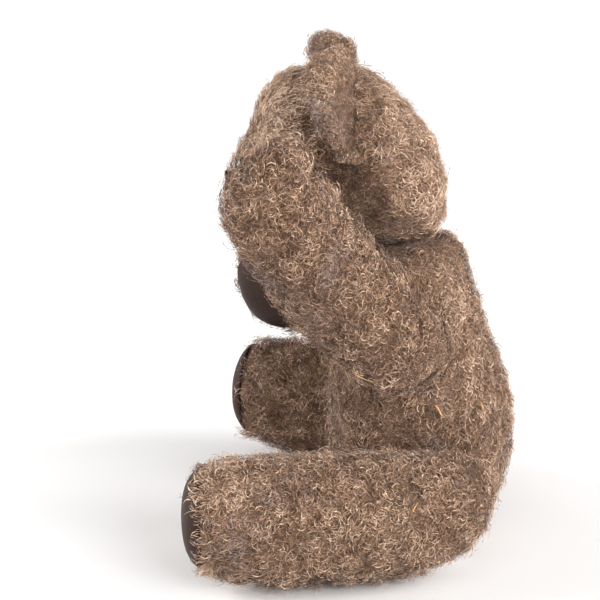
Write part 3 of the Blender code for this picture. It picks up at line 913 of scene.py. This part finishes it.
def build_pile_tree():
    """Curled flat fibres rooted on a cloth, lying over it in tufts and following its curve."""
    group = bpy.data.node_groups.new("Wool pile", "GeometryNodeTree")
    group.interface.new_socket("Cloth", in_out="INPUT", socket_type="NodeSocketGeometry")
    for name, kind in PILE_INPUTS.items():
        group.interface.new_socket(name, in_out="INPUT", socket_type=kind)
    group.interface.new_socket("Pile", in_out="OUTPUT", socket_type="NodeSocketGeometry")
    tree = Tree(group)
    given = tree.node("NodeGroupInput")
    size = {name: Value(tree, given.outputs[name]) for name in PILE_INPUTS}
    seed = size["Seed"]

    cloth = stored(tree, Value(tree, given.outputs["Cloth"]), "rise",
                   tree.get("GeometryNodeInputNormal"), "FLOAT_VECTOR")
    roots = tree.get("GeometryNodeDistributePointsOnFaces", {"distribute_method": "POISSON"}, {
        "Mesh": cloth,
        "Distance Min": 0.55 / size["Fibres per square metre"] ** 0.5,
        "Density Max": size["Fibres per square metre"] * 1.45,
        "Density Factor": named(tree, "cover"),
        "Seed": seed,
    })
    place = tree.get("GeometryNodeInputPosition")
    out = unit(tree, named(tree, "rise", "FLOAT_VECTOR"))
    tuft_step = 1 / size["Tuft"]
    swirl = tree.noise(place, tuft_step * 0.35, 2.0, 0.5, "Color")
    tuft_way = tree.cells(place, tuft_step, "Color")
    any_way = tree.get("FunctionNodeRandomValue", {"data_type": "FLOAT_VECTOR"},
                       {0: (-1, -1, -1), 1: (1, 1, 1), 8: seed + 1})
    way = (named(tree, "comb", "FLOAT_VECTOR") * size["Comb"] + (swirl - (0.5, 0.5, 0.5)) * 3.2
           + (tuft_way - (0.5, 0.5, 0.5)) * 1.1 + any_way * 0.45)
    lie = unit(tree, way - out * dotted(tree, way, out))

    tuft_edge = tree.ramp(tree.cells(place, tuft_step), 0.15, 0.75)
    draw = chance(tree, 0, 1, seed + 2)
    stray = tree.math("LESS_THAN", draw, size["Stray share"])
    frizz = tree.math("LESS_THAN", draw, size["Frizz share"])
    high = (1.25 - tuft_edge * 0.75) * chance(tree, 0.75, 1.25, seed + 3)
    high = (high * (1 + frizz * 0.25) + stray * (high * 0.4 + 0.3)) * named(tree, "fluff")
    long = chance(tree, 0.65, 1.2, seed + 4) * named(tree, "reach")

    patch = tree.noise(place, 24.0, 3.0, 0.6)
    mottle = tree.noise(place, 130.0, 2.0, 0.6)
    grain = tree.noise(place, 330.0, 2.0, 0.6)
    tuft_tone, _ = tree.split(tuft_way)
    grey = tree.noise(place + (0.7, 0.2, 0.4), 34.0, 3.0, 0.6)
    red = tree.noise(place + (0.1, 0.9, 0.3), 90.0, 3.0, 0.6)
    own = chance(tree, -0.5, 0.5, seed + 5)
    # the tint mark brings the cloth's painted shade and painted light; tuft edges add painted shade in the
    # gaps
    tone = (size["Tone"] + named(tree, "tint") + (patch - 0.5) * TONE_BY["patch"]
            + (mottle - 0.5) * TONE_BY["mottle"] + (grain - 0.5) * TONE_BY["grain"]
            + (tuft_tone - 0.5) * TONE_BY["tuft"] + own * TONE_BY["own"]
            - (tuft_edge - 0.35) * TONE_BY["edge"] + (frizz - FRIZZ_SHARE) * TONE_BY["frizz"])
    tone = tree.ramp(tone, *TONE_ENDS, *TONE_ENDS)
    greyed = tree.math("GREATER_THAN", grey + own * 0.22, DUST_FROM)
    tone = chosen(greyed, tone, DUST_TONE + own * 0.06)
    rusted = tree.math("GREATER_THAN", red + own * 0.2 + named(tree, "rust"), RUST_FROM)
    tone = chosen(rusted, tone, RUST_TONE)

    hand = tree.math("SIGN", chance(tree, -1, 1, seed + 6))
    bend = hand * size["Bend"] * chance(tree, 0.45, 1.3, seed + 7)

    middle = tree.cells(place, tuft_step, "Position")
    start = bend * -0.5 + chance(tree, -0.6, 0.6, seed + 8)
    roll = chance(tree, -0.9, 0.9, seed + 9)
    for kind, marks in (
            ("FLOAT_VECTOR", {"root": place, "out": out, "lie": lie, "tuft_middle": middle}),
            ("FLOAT", {"high": high, "long": long, "tone": tone, "fine": 1 - frizz * 0.42,
                       "bend": bend, "start": start, "roll": roll})):
        for name, value in marks.items():
            roots = stored(tree, roots, name, value, kind)

    strip = tree.get("GeometryNodeMeshGrid", None, {
        "Size X": FIBRE_QUADS, "Size Y": 1.0, "Vertices X": FIBRE_QUADS + 1, "Vertices Y": 2})
    step, beside = tree.split(tree.get("GeometryNodeInputPosition"))
    step = step + FIBRE_QUADS / 2
    strip = stored(tree, strip, "along", (step * 2 + beside + 0.5) * (1 / (FIBRE_QUADS * 2 + 1)))
    strip = stored(tree, strip, "beside", beside)
    fibres = tree.get("GeometryNodeInstanceOnPoints", None, {"Points": roots, "Instance": strip})
    fibres = tree.get("GeometryNodeRealizeInstances", None, {"Geometry": fibres})

    root, out, lie, middle = (
        named(tree, name, "FLOAT_VECTOR") for name in ("root", "out", "lie", "tuft_middle"))
    along, beside, high, long, fine, bend, start, roll = (
        named(tree, name) for name in ("along", "beside", "high", "long", "fine", "bend", "start", "roll"))
    side = tree.math("CROSS_PRODUCT", out, lie)
    angle = start + along * bend
    reach = size["Length"] * long / bend
    run = (lie * (reach * (tree.sine(angle) - tree.sine(start)))
           + side * (reach * (tree.cosine(start) - tree.cosine(angle))))
    across = side * tree.cosine(angle) - lie * tree.sine(angle)
    breadth = beside * size["Width"] * fine * (1.15 - along * along * 0.75)
    spot = (root + run + (middle - root) * (along * along * TUFT_PULL)
            + across * (breadth * tree.cosine(roll) + tree.sine(along * 9.0 + roll * 5.0) * WAVE * along))
    lift = size["Stand"] * high * (1 - (1 - along) ** 2.5) + breadth * tree.sine(roll)
    under = tree.get("GeometryNodeProximity", {"target_element": "FACES"},
                     {"Geometry": cloth, "Sample Position": spot}, "Position")
    up = unit(tree, tree.get("GeometryNodeSampleNearestSurface", {"data_type": "FLOAT_VECTOR"}, {
        "Mesh": cloth, "Value": named(tree, "rise", "FLOAT_VECTOR"), "Sample Position": spot}))
    fibres = tree.get("GeometryNodeSetPosition", None, {"Geometry": fibres, "Position": under + up * lift})
    map_place = tree.get("ShaderNodeCombineXYZ", None, {0: named(tree, "tone"), 1: along})
    fibres = stored(tree, fibres, "OFBake", map_place, "FLOAT2", "CORNER")
    pile = tree.get("GeometryNodeSetMaterial", None, {"Geometry": fibres, "Material": size["Material"]})
    tree.put(tree.node("NodeGroupOutput").inputs["Pile"], pile)
    return group


PILE_TREE = build_pile_tree()
SPARE_MARKS = ("rise cover reach fluff comb tint rust root out lie tuft_middle high long fine tone bend start"
               " roll along beside").split()
SQUARE_CM = 1e4         # square centimetres to a square metre
FIRST_SEED, SEED_STEP = 40, 20


def grow_pile(cloths, name, body, seed, sizes):
    """Grows pile on the cloths of one body and leaves it as one plain mesh."""
    ground = mesh_from(name + "_ground", bmesh_of(*(cloth.data for cloth in cloths)))
    pile = object_from(name, ground, FIBRE)
    grower = pile.modifiers.new("Wool pile", "NODES")
    grower.node_group = PILE_TREE
    given = {name: sizes[name.lower()] for name in PILE_SIZES}
    given.update({"Fibres per square metre": sizes["per_cm2"] * SQUARE_CM, "Stray share": STRAY_SHARE,
                  "Frizz share": FRIZZ_SHARE, "Seed": seed, "Material": FIBRE})
    for item in PILE_TREE.interface.items_tree:
        if item.name in given:
            grower[item.identifier] = given[item.name]
    apply_modifiers(pile)
    for mark in SPARE_MARKS:
        if pile.data.attributes.get(mark):
            pile.data.attributes.remove(pile.data.attributes[mark])
    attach(pile, body)
    return pile


# ---------------------------------------------------------------- leather pads

PAD_RINGS = 9
PAD_SPOKES = 44
PAD_ORIGIN = 0.023      # rays to a pad start this far under its middle
PAD_SINK = 0.0007       # the leather lies this far inside the solid's face
PAD_WALL = 0.0013
PAD_FAR = 0.06          # and come back from this far out, over this reach
PAD_REACH = 0.058
PAD_STEP = math.radians(0.5)
PAD_WIDEST = math.radians(88)
PAD_SHARE = {"arm": 0.90, "leg": 0.80}      # how much of its solid's spread the leather shows
GATHER = 0.00022        # little gathers round a pad's sewn edge
GATHERS = 19
PAD_ROLL = 0.0011       # how far the sewn edge turns under


def pad_way(node, limb):
    """The way a pad faces: along the leg at a foot, and towards the other arm on a paw."""
    return -joint_frame(FORMS[limb][1])[1] if limb.startswith("arm") else limb_way(node, limb)


def pad_points(node, limb):
    """Rings of points on a CAD pad's outer face, from its middle to its edge."""
    face = tree_of(node)
    way = Vector(pad_way(node, limb))
    start = Vector(middle_of(node)) - way * PAD_ORIGIN
    first = way.orthogonal().normalized()
    second = way.cross(first)

    def hit(spoke, lean):
        turn = math.tau * spoke / PAD_SPOKES
        ray = way * math.cos(lean) + (first * math.cos(turn) + second * math.sin(turn)) * math.sin(lean)
        return face.ray_cast(start + ray * PAD_FAR, -ray, PAD_REACH)[0]

    rings = []
    edges = []
    for spoke in range(PAD_SPOKES):
        lean = 0.0
        while lean < PAD_WIDEST and hit(spoke, lean + PAD_STEP) is not None:
            lean += PAD_STEP
        edges.append(lean)
    edges = [sum(edges[(k + o) % PAD_SPOKES] for o in (-2, -1, 0, 1, 2)) / 5 - PAD_STEP
             for k in range(PAD_SPOKES)]
    for ring in range(1, PAD_RINGS + 1):
        share = ring / PAD_RINGS * PAD_SHARE[limb[:3]]
        rings.append([hit(spoke, edges[spoke] * share) for spoke in range(PAD_SPOKES)])
    return hit(0, 0.0), rings, way


def leather_pad(node, limb):
    """A worn leather pad drawn over the stuffing and gathered a little at its sewn edge."""
    middle, rings, way = pad_points(node, limb)
    bm = bmesh.new()
    centre = bm.verts.new(middle)
    rows = []
    for ring in rings:
        row = []
        for spoke, point in enumerate(ring):
            if point is None:
                point = row[-1].co.copy() if row else middle.copy()
            row.append(bm.verts.new(point))
        rows.append(row)
    for spoke in range(PAD_SPOKES):
        after = (spoke + 1) % PAD_SPOKES
        bm.faces.new((centre, rows[0][spoke], rows[0][after]))
        for inner, outer in zip(rows, rows[1:]):
            bm.faces.new((inner[spoke], outer[spoke], outer[after], inner[after]))
    bmesh.ops.recalc_face_normals(bm, faces=bm.faces)
    if Vector(way).dot(bm.faces[0].normal) < 0:
        bmesh.ops.reverse_faces(bm, faces=bm.faces)
    for _ in range(3):
        bmesh.ops.smooth_vert(bm, verts=[centre] + [v for row in rows[:-1] for v in row], factor=0.5,
                              use_axis_x=True, use_axis_y=True, use_axis_z=True)
    bm.normal_update()
    normals = {vertex: vertex.normal.copy() for vertex in bm.verts}
    for ring, row in enumerate(rows):
        for spoke, vertex in enumerate(row):
            edge = max(0, ring - PAD_RINGS + 4) / 3
            wave = math.cos(math.tau * spoke * GATHERS / PAD_SPOKES) * GATHER * edge
            roll = PAD_ROLL * max(0, edge - 0.34) ** 2
            vertex.co -= normals[vertex] * (PAD_SINK + roll - wave)
    centre.co -= normals[centre] * PAD_SINK
    pad = object_from("leather_" + node, mesh_from("leather_" + node, bm), LEATHER)
    wall = pad.modifiers.new("Wall", "SOLIDIFY")
    wall.thickness = PAD_WALL
    wall.offset = -1
    finer = pad.modifiers.new("Finer", "SUBSURF")
    finer.levels = finer.render_levels = 1
    apply_modifiers(pad)
    smooth(pad)
    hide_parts(node)
    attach(pad, FORMS[limb][0])
    return pad


# ---------------------------------------------------------------- face

THREAD = 0.00052        # radius of the embroidery thread
TUBE_END = 0.45         # a thread's ends are this much thinner
NOSE = (0.0082, 0.0056, 0.0018)     # half width, half height, depth
NOSE_THREADS = 15
EYE_SINK = 0.0016
EYE_DOME = 1.15         # an eye is domed this much more than its solid
FACE_FAR = 0.05         # rays back to the face start this far out, over this reach
FACE_REACH = 0.12


def tube(points, radius, sides=6):
    """A closed round tube along points, as vertices and faces, with its ends drawn in."""
    vertices, faces = [], []
    points = [Vector(point) for point in points]
    count = len(points)
    side = None
    for i, point in enumerate(points):
        ahead = (points[min(i + 1, count - 1)] - points[max(i - 1, 0)]).normalized()
        side = (side - ahead * side.dot(ahead)).normalized() if side else ahead.orthogonal().normalized()
        other = ahead.cross(side)
        size = radius * (TUBE_END if i in (0, count - 1) else 1)
        for k in range(sides):
            turn = math.tau * k / sides
            vertices.append(point + (side * math.cos(turn) + other * math.sin(turn)) * size)
    for i in range(count - 1):
        for k in range(sides):
            a, b = i * sides + k, i * sides + (k + 1) % sides
            faces.append((a, b, b + sides, a + sides))
    faces.append(tuple(reversed(range(sides))))
    faces.append(tuple(range((count - 1) * sides, count * sides)))
    return vertices, faces


def join_shapes(name, shapes, material):
    mesh = bpy.data.meshes.new(name)
    vertices, faces = [], []
    for own_vertices, own_faces in shapes:
        first = len(vertices)
        vertices += own_vertices
        faces += [tuple(first + k for k in face) for face in own_faces]
    mesh.from_pydata([tuple(v) for v in vertices], [], faces)
    made = object_from(name, mesh, material)
    smooth(made)
    return made


def face_frame():
    """Across to the left eye, up the neck's axis, and forward."""
    _, up = joint_frame("neck")
    across = middle_of("eye_left") - middle_of("eye_right")
    across = across - up * (across @ up)
    across /= np.linalg.norm(across)
    return Vector(across), Vector(up), Vector(np.cross(across, up))


def on_head(face, point, forward, lift):
    """A point moved along forward to lie this far in front of the head."""
    hit = face.ray_cast(Vector(point) + forward * FACE_FAR, -forward, FACE_REACH)[0]
    return hit + forward * lift


def embroider():
    """Satin-stitched nose with parallel threads, and the lip and mouth in twisted thread."""
    across, up, forward = face_frame()
    skull = tree_of("head")
    nose = Vector(middle_of("nose_stitching"))
    threads = []
    wide, tall, deep = NOSE
    for i in range(NOSE_THREADS):
        u = (i / (NOSE_THREADS - 1)) * 2 - 1
        top = tall * (1 - 0.20 * u * u)
        bottom = -tall * (1 - abs(u) ** 1.6) - 0.0004
        line = []
        for step in range(6):
            v = step / 5
            height = top + (bottom - top) * v
            dome = max(0.0, 1 - 0.75 * u * u - 0.7 * (height / tall) ** 2)
            swell_out = deep * math.sqrt(dome) if abs(u) < 1 else 0
            waver = 0.00010 * math.sin(i * 2.3 + step * 1.7)
            point = nose + across * (u * wide * (1 - 0.10 * v) + waver) + up * height
            line.append(on_head(skull, point, forward, swell_out + THREAD * 0.4))
        threads.append(tube(line, THREAD * 1.15))
    for row in range(2):
        line = []
        for step in range(9):
            u = step / 4 - 1
            point = nose + across * (u * wide * 1.03) + up * (tall * (1.0 - 0.20 * u * u) - row * 0.0009)
            dome = math.sqrt(max(0, 1 - 0.8 * u * u))
            line.append(on_head(skull, point, forward, deep * dome * 0.9 + 0.0008))
        threads.append(tube(line, THREAD * 1.1))
    stitched = join_shapes("satin_nose", threads, EMBROIDERY)
    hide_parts("nose_stitching")
    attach(stitched, "head_body")

    for node, samples in (("lip_stitch", 8), ("mouth_stitch", 18)):
        points = points_of(frame["nodes"][node].data)
        middle = Vector(middle_of(node))
        run, other = (across, up) if node == "mouth_stitch" else (up, across)
        along = (points - np.array(middle)) @ np.array(run)
        height = (points - np.array(middle)) @ np.array(other)
        line = []
        for place in np.linspace(along.min(), along.max(), samples):
            near = np.abs(along - place) < (along.max() - along.min()) / samples + 0.0010
            level = height[near].mean()
            line.append(on_head(skull, middle + run * place + other * level, forward, 0.0003))
        strands = []
        for ply in range(2):
            twisted = []
            for i in range((samples - 1) * 4 + 1):
                whole, part = divmod(i / 4, 1)
                whole = int(whole)
                point = line[whole].lerp(line[min(whole + 1, samples - 1)], part)
                turn = i * 0.9 + ply * math.pi
                twisted.append(point + (other * math.cos(turn) + forward * math.sin(turn)) * THREAD * 0.45)
            strands.append(tube(twisted, THREAD * 0.75, 5))
        thread = join_shapes("thread_" + node, strands, EMBROIDERY)
        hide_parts(node)
        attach(thread, "head_body")


def glass_eye(node):
    """A domed glass button, turned the way the solid lies."""
    points = points_of(frame["nodes"][node].data)
    middle = points.mean(0)
    _, ways = np.linalg.eigh(np.cov((points - middle).T))
    normal = ways[:, 0] * np.sign(ways[:, 0] @ np.array(face_frame()[2]))
    offset = points - middle
    radius = np.abs(offset @ ways[:, 2]).max()
    depth = np.abs(offset @ normal).max()
    bm = bmesh.new()
    bmesh.ops.create_uvsphere(bm, u_segments=32, v_segments=20, radius=1.0)
    turned = Vector(normal).to_track_quat("Z", "Y").to_matrix().to_4x4()
    bm.transform(Matrix.Translation(Vector(middle - normal * EYE_SINK)) @ turned
                 @ Matrix.Diagonal((radius, radius, depth * EYE_DOME, 1.0)))
    bmesh.ops.recalc_face_normals(bm, faces=bm.faces)
    eye = object_from("glass_" + node, mesh_from("glass_" + node, bm), GLASS)
    smooth(eye)
    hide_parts(node)
    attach(eye, "head_body")


# ---------------------------------------------------------------- loose wood wool

# Slivers of stuffing that have worked out through the cloth: form, place, way, length, thickness
SLIVERS = [
    ("arm_left", (0.0699, -0.0199, 0.1045), (0.0, 0.93, -0.30), 0.0090, 0.0016),
    ("torso", (0.0418, 0.0125, 0.0779), (-0.1, 0.45, -0.85), 0.0076, 0.0012),
    ("torso", (0.0302, 0.0319, 0.0775), (0.2, -0.3, 0.9), 0.0044, 0.0010),
    ("leg_left", (0.0860, 0.0055, 0.0465), (0.0, 0.5, 0.8), 0.0055, 0.0008),
]
SLIVER_LIFT = 0.0012
SLIVER_BOW = 0.0006
SLIVER_ROWS = 6
SLIVER_SIDES = 5
SLIVER_LEAN = 0.6       # share of its bow that goes sideways
SLIVER_TAPER = 0.8
SLIVER_FLAT = 0.5


def wood_wool():
    """Bent wedges, thick at one end, that lie in the pile of the form they came from."""
    for number, (node, place, way, length, thick) in enumerate(SLIVERS, 1):
        skin, normal, _, _ = NEIGHBOURS[node].find_nearest(Vector(place))
        way = Vector(way)
        way = (way - normal * way.dot(normal)).normalized()
        aside = normal.cross(way)
        points = []
        for step in range(SLIVER_ROWS + 1):
            share = step / SLIVER_ROWS * 2 - 1
            bow = SLIVER_BOW * (1 - share * share)
            points.append(skin + way * (share * length / 2) + normal * (SLIVER_LIFT + bow)
                          + aside * bow * SLIVER_LEAN)
        vertices, faces = tube(points, thick / 2, SLIVER_SIDES)
        for i, vertex in enumerate(vertices):
            row = i // SLIVER_SIDES
            offset = vertex - points[row]
            taper = 1 - SLIVER_TAPER * row / SLIVER_ROWS
            vertices[i] = points[row] + offset * taper - normal * offset.dot(normal) * SLIVER_FLAT
        sliver = join_shapes(f"straw_sliver_{number}", [(vertices, faces)], STRAW)
        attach(sliver, FORMS[node][0])


# ---------------------------------------------------------------- joint hardware

def dress_hardware():
    """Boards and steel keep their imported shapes, with their own finishes."""
    for name, node in frame["nodes"].items():
        for part, material in (("_disc_", BOARD), ("_washer_", STEEL), ("_bolt", STEEL), ("_nut", STEEL)):
            if part in name:
                node.data.materials.clear()
                node.data.materials.append(material)


# ---------------------------------------------------------------- making

NEIGHBOURS = {node: tree_of(node) for node in FORMS}
leathers = {limb: leather_pad(pad, limb) for limb, pad in PADS_ON.items()}
cloths = {node: stuffed(node) for node in FORMS}
ears = [ear_cloth("ear_left"), ear_cloth("ear_right")]
for number, (node, sizes) in enumerate(PILE.items()):
    grow_pile([cloths[node]] + (ears if node == "head" else []), "pile_" + node, FORMS[node][0],
              FIRST_SEED + number * SEED_STEP, sizes)
embroider()
glass_eye("eye_left")
glass_eye("eye_right")
wood_wool()
dress_hardware()


# ---------------------------------------------------------------- camera, light and floor

CAMERA_TURN = math.radians(97)
CAMERA_RISE = math.radians(18.5)
CAMERA_AWAY = 1.30
CAMERA_AIM = Vector((0, -0.059, 0.117))
CAMERA_LENS = 159       # millimetres, on a sensor this wide
CAMERA_SENSOR = 36

# Soft boxes: name, place, power in watts, side in metres
LIGHTS = [
    ("front_box", (0.0, -2.8, 1.2), 112, 1.6),
    ("back_box", (0.0, 2.8, 1.2), 80, 1.6),
    ("near_back_box", (2.2, 1.7, 1.3), 76, 1.6),
    ("near_top_box", (1.8, 0.0, 2.6), 14, 2.0),
    ("back_top_box", (0.5, 2.2, 2.4), 15, 2.0),
    ("far_front_box", (-1.8, -2.0, 1.6), 14, 1.6),
    ("far_back_box", (-1.8, 2.0, 1.6), 12, 1.6),
]
AMBIENT = 0.20


def aimed(name, data, place):
    made = bpy.data.objects.new(name, data)
    made.location = place
    made.rotation_euler = (CAMERA_AIM - made.location).to_track_quat("-Z", "Y").to_euler()
    bpy.context.scene.collection.objects.link(made)
    return made


def place_camera():
    lens = bpy.data.cameras.new("camera")
    lens.lens = CAMERA_LENS
    lens.sensor_width = CAMERA_SENSOR
    level = math.cos(CAMERA_RISE) * CAMERA_AWAY
    bpy.context.scene.camera = aimed("camera", lens, CAMERA_AIM + Vector((
        math.sin(CAMERA_TURN) * level, -math.cos(CAMERA_TURN) * level, math.sin(CAMERA_RISE) * CAMERA_AWAY)))


def area_light(name, place, power, size):
    light = bpy.data.lights.new(name, "AREA")
    light.energy = power
    light.size = size
    aimed(name, light, place)


def lay_floor():
    bm = bmesh.new()
    bmesh.ops.create_grid(bm, x_segments=1, y_segments=1, size=4.0)
    object_from("floor", mesh_from("floor", bm), PAPER)


place_camera()
for name, place, power, size in LIGHTS:
    area_light(name, place, power, size)
lay_floor()
world = bpy.data.worlds.new("studio")
bpy.context.scene.world = world
world.use_nodes = True
world.node_tree.nodes["Background"].inputs["Color"].default_value = (1, 1, 1, 1)
world.node_tree.nodes["Background"].inputs["Strength"].default_value = AMBIENT
bpy.context.scene.view_settings.view_transform = "Standard"
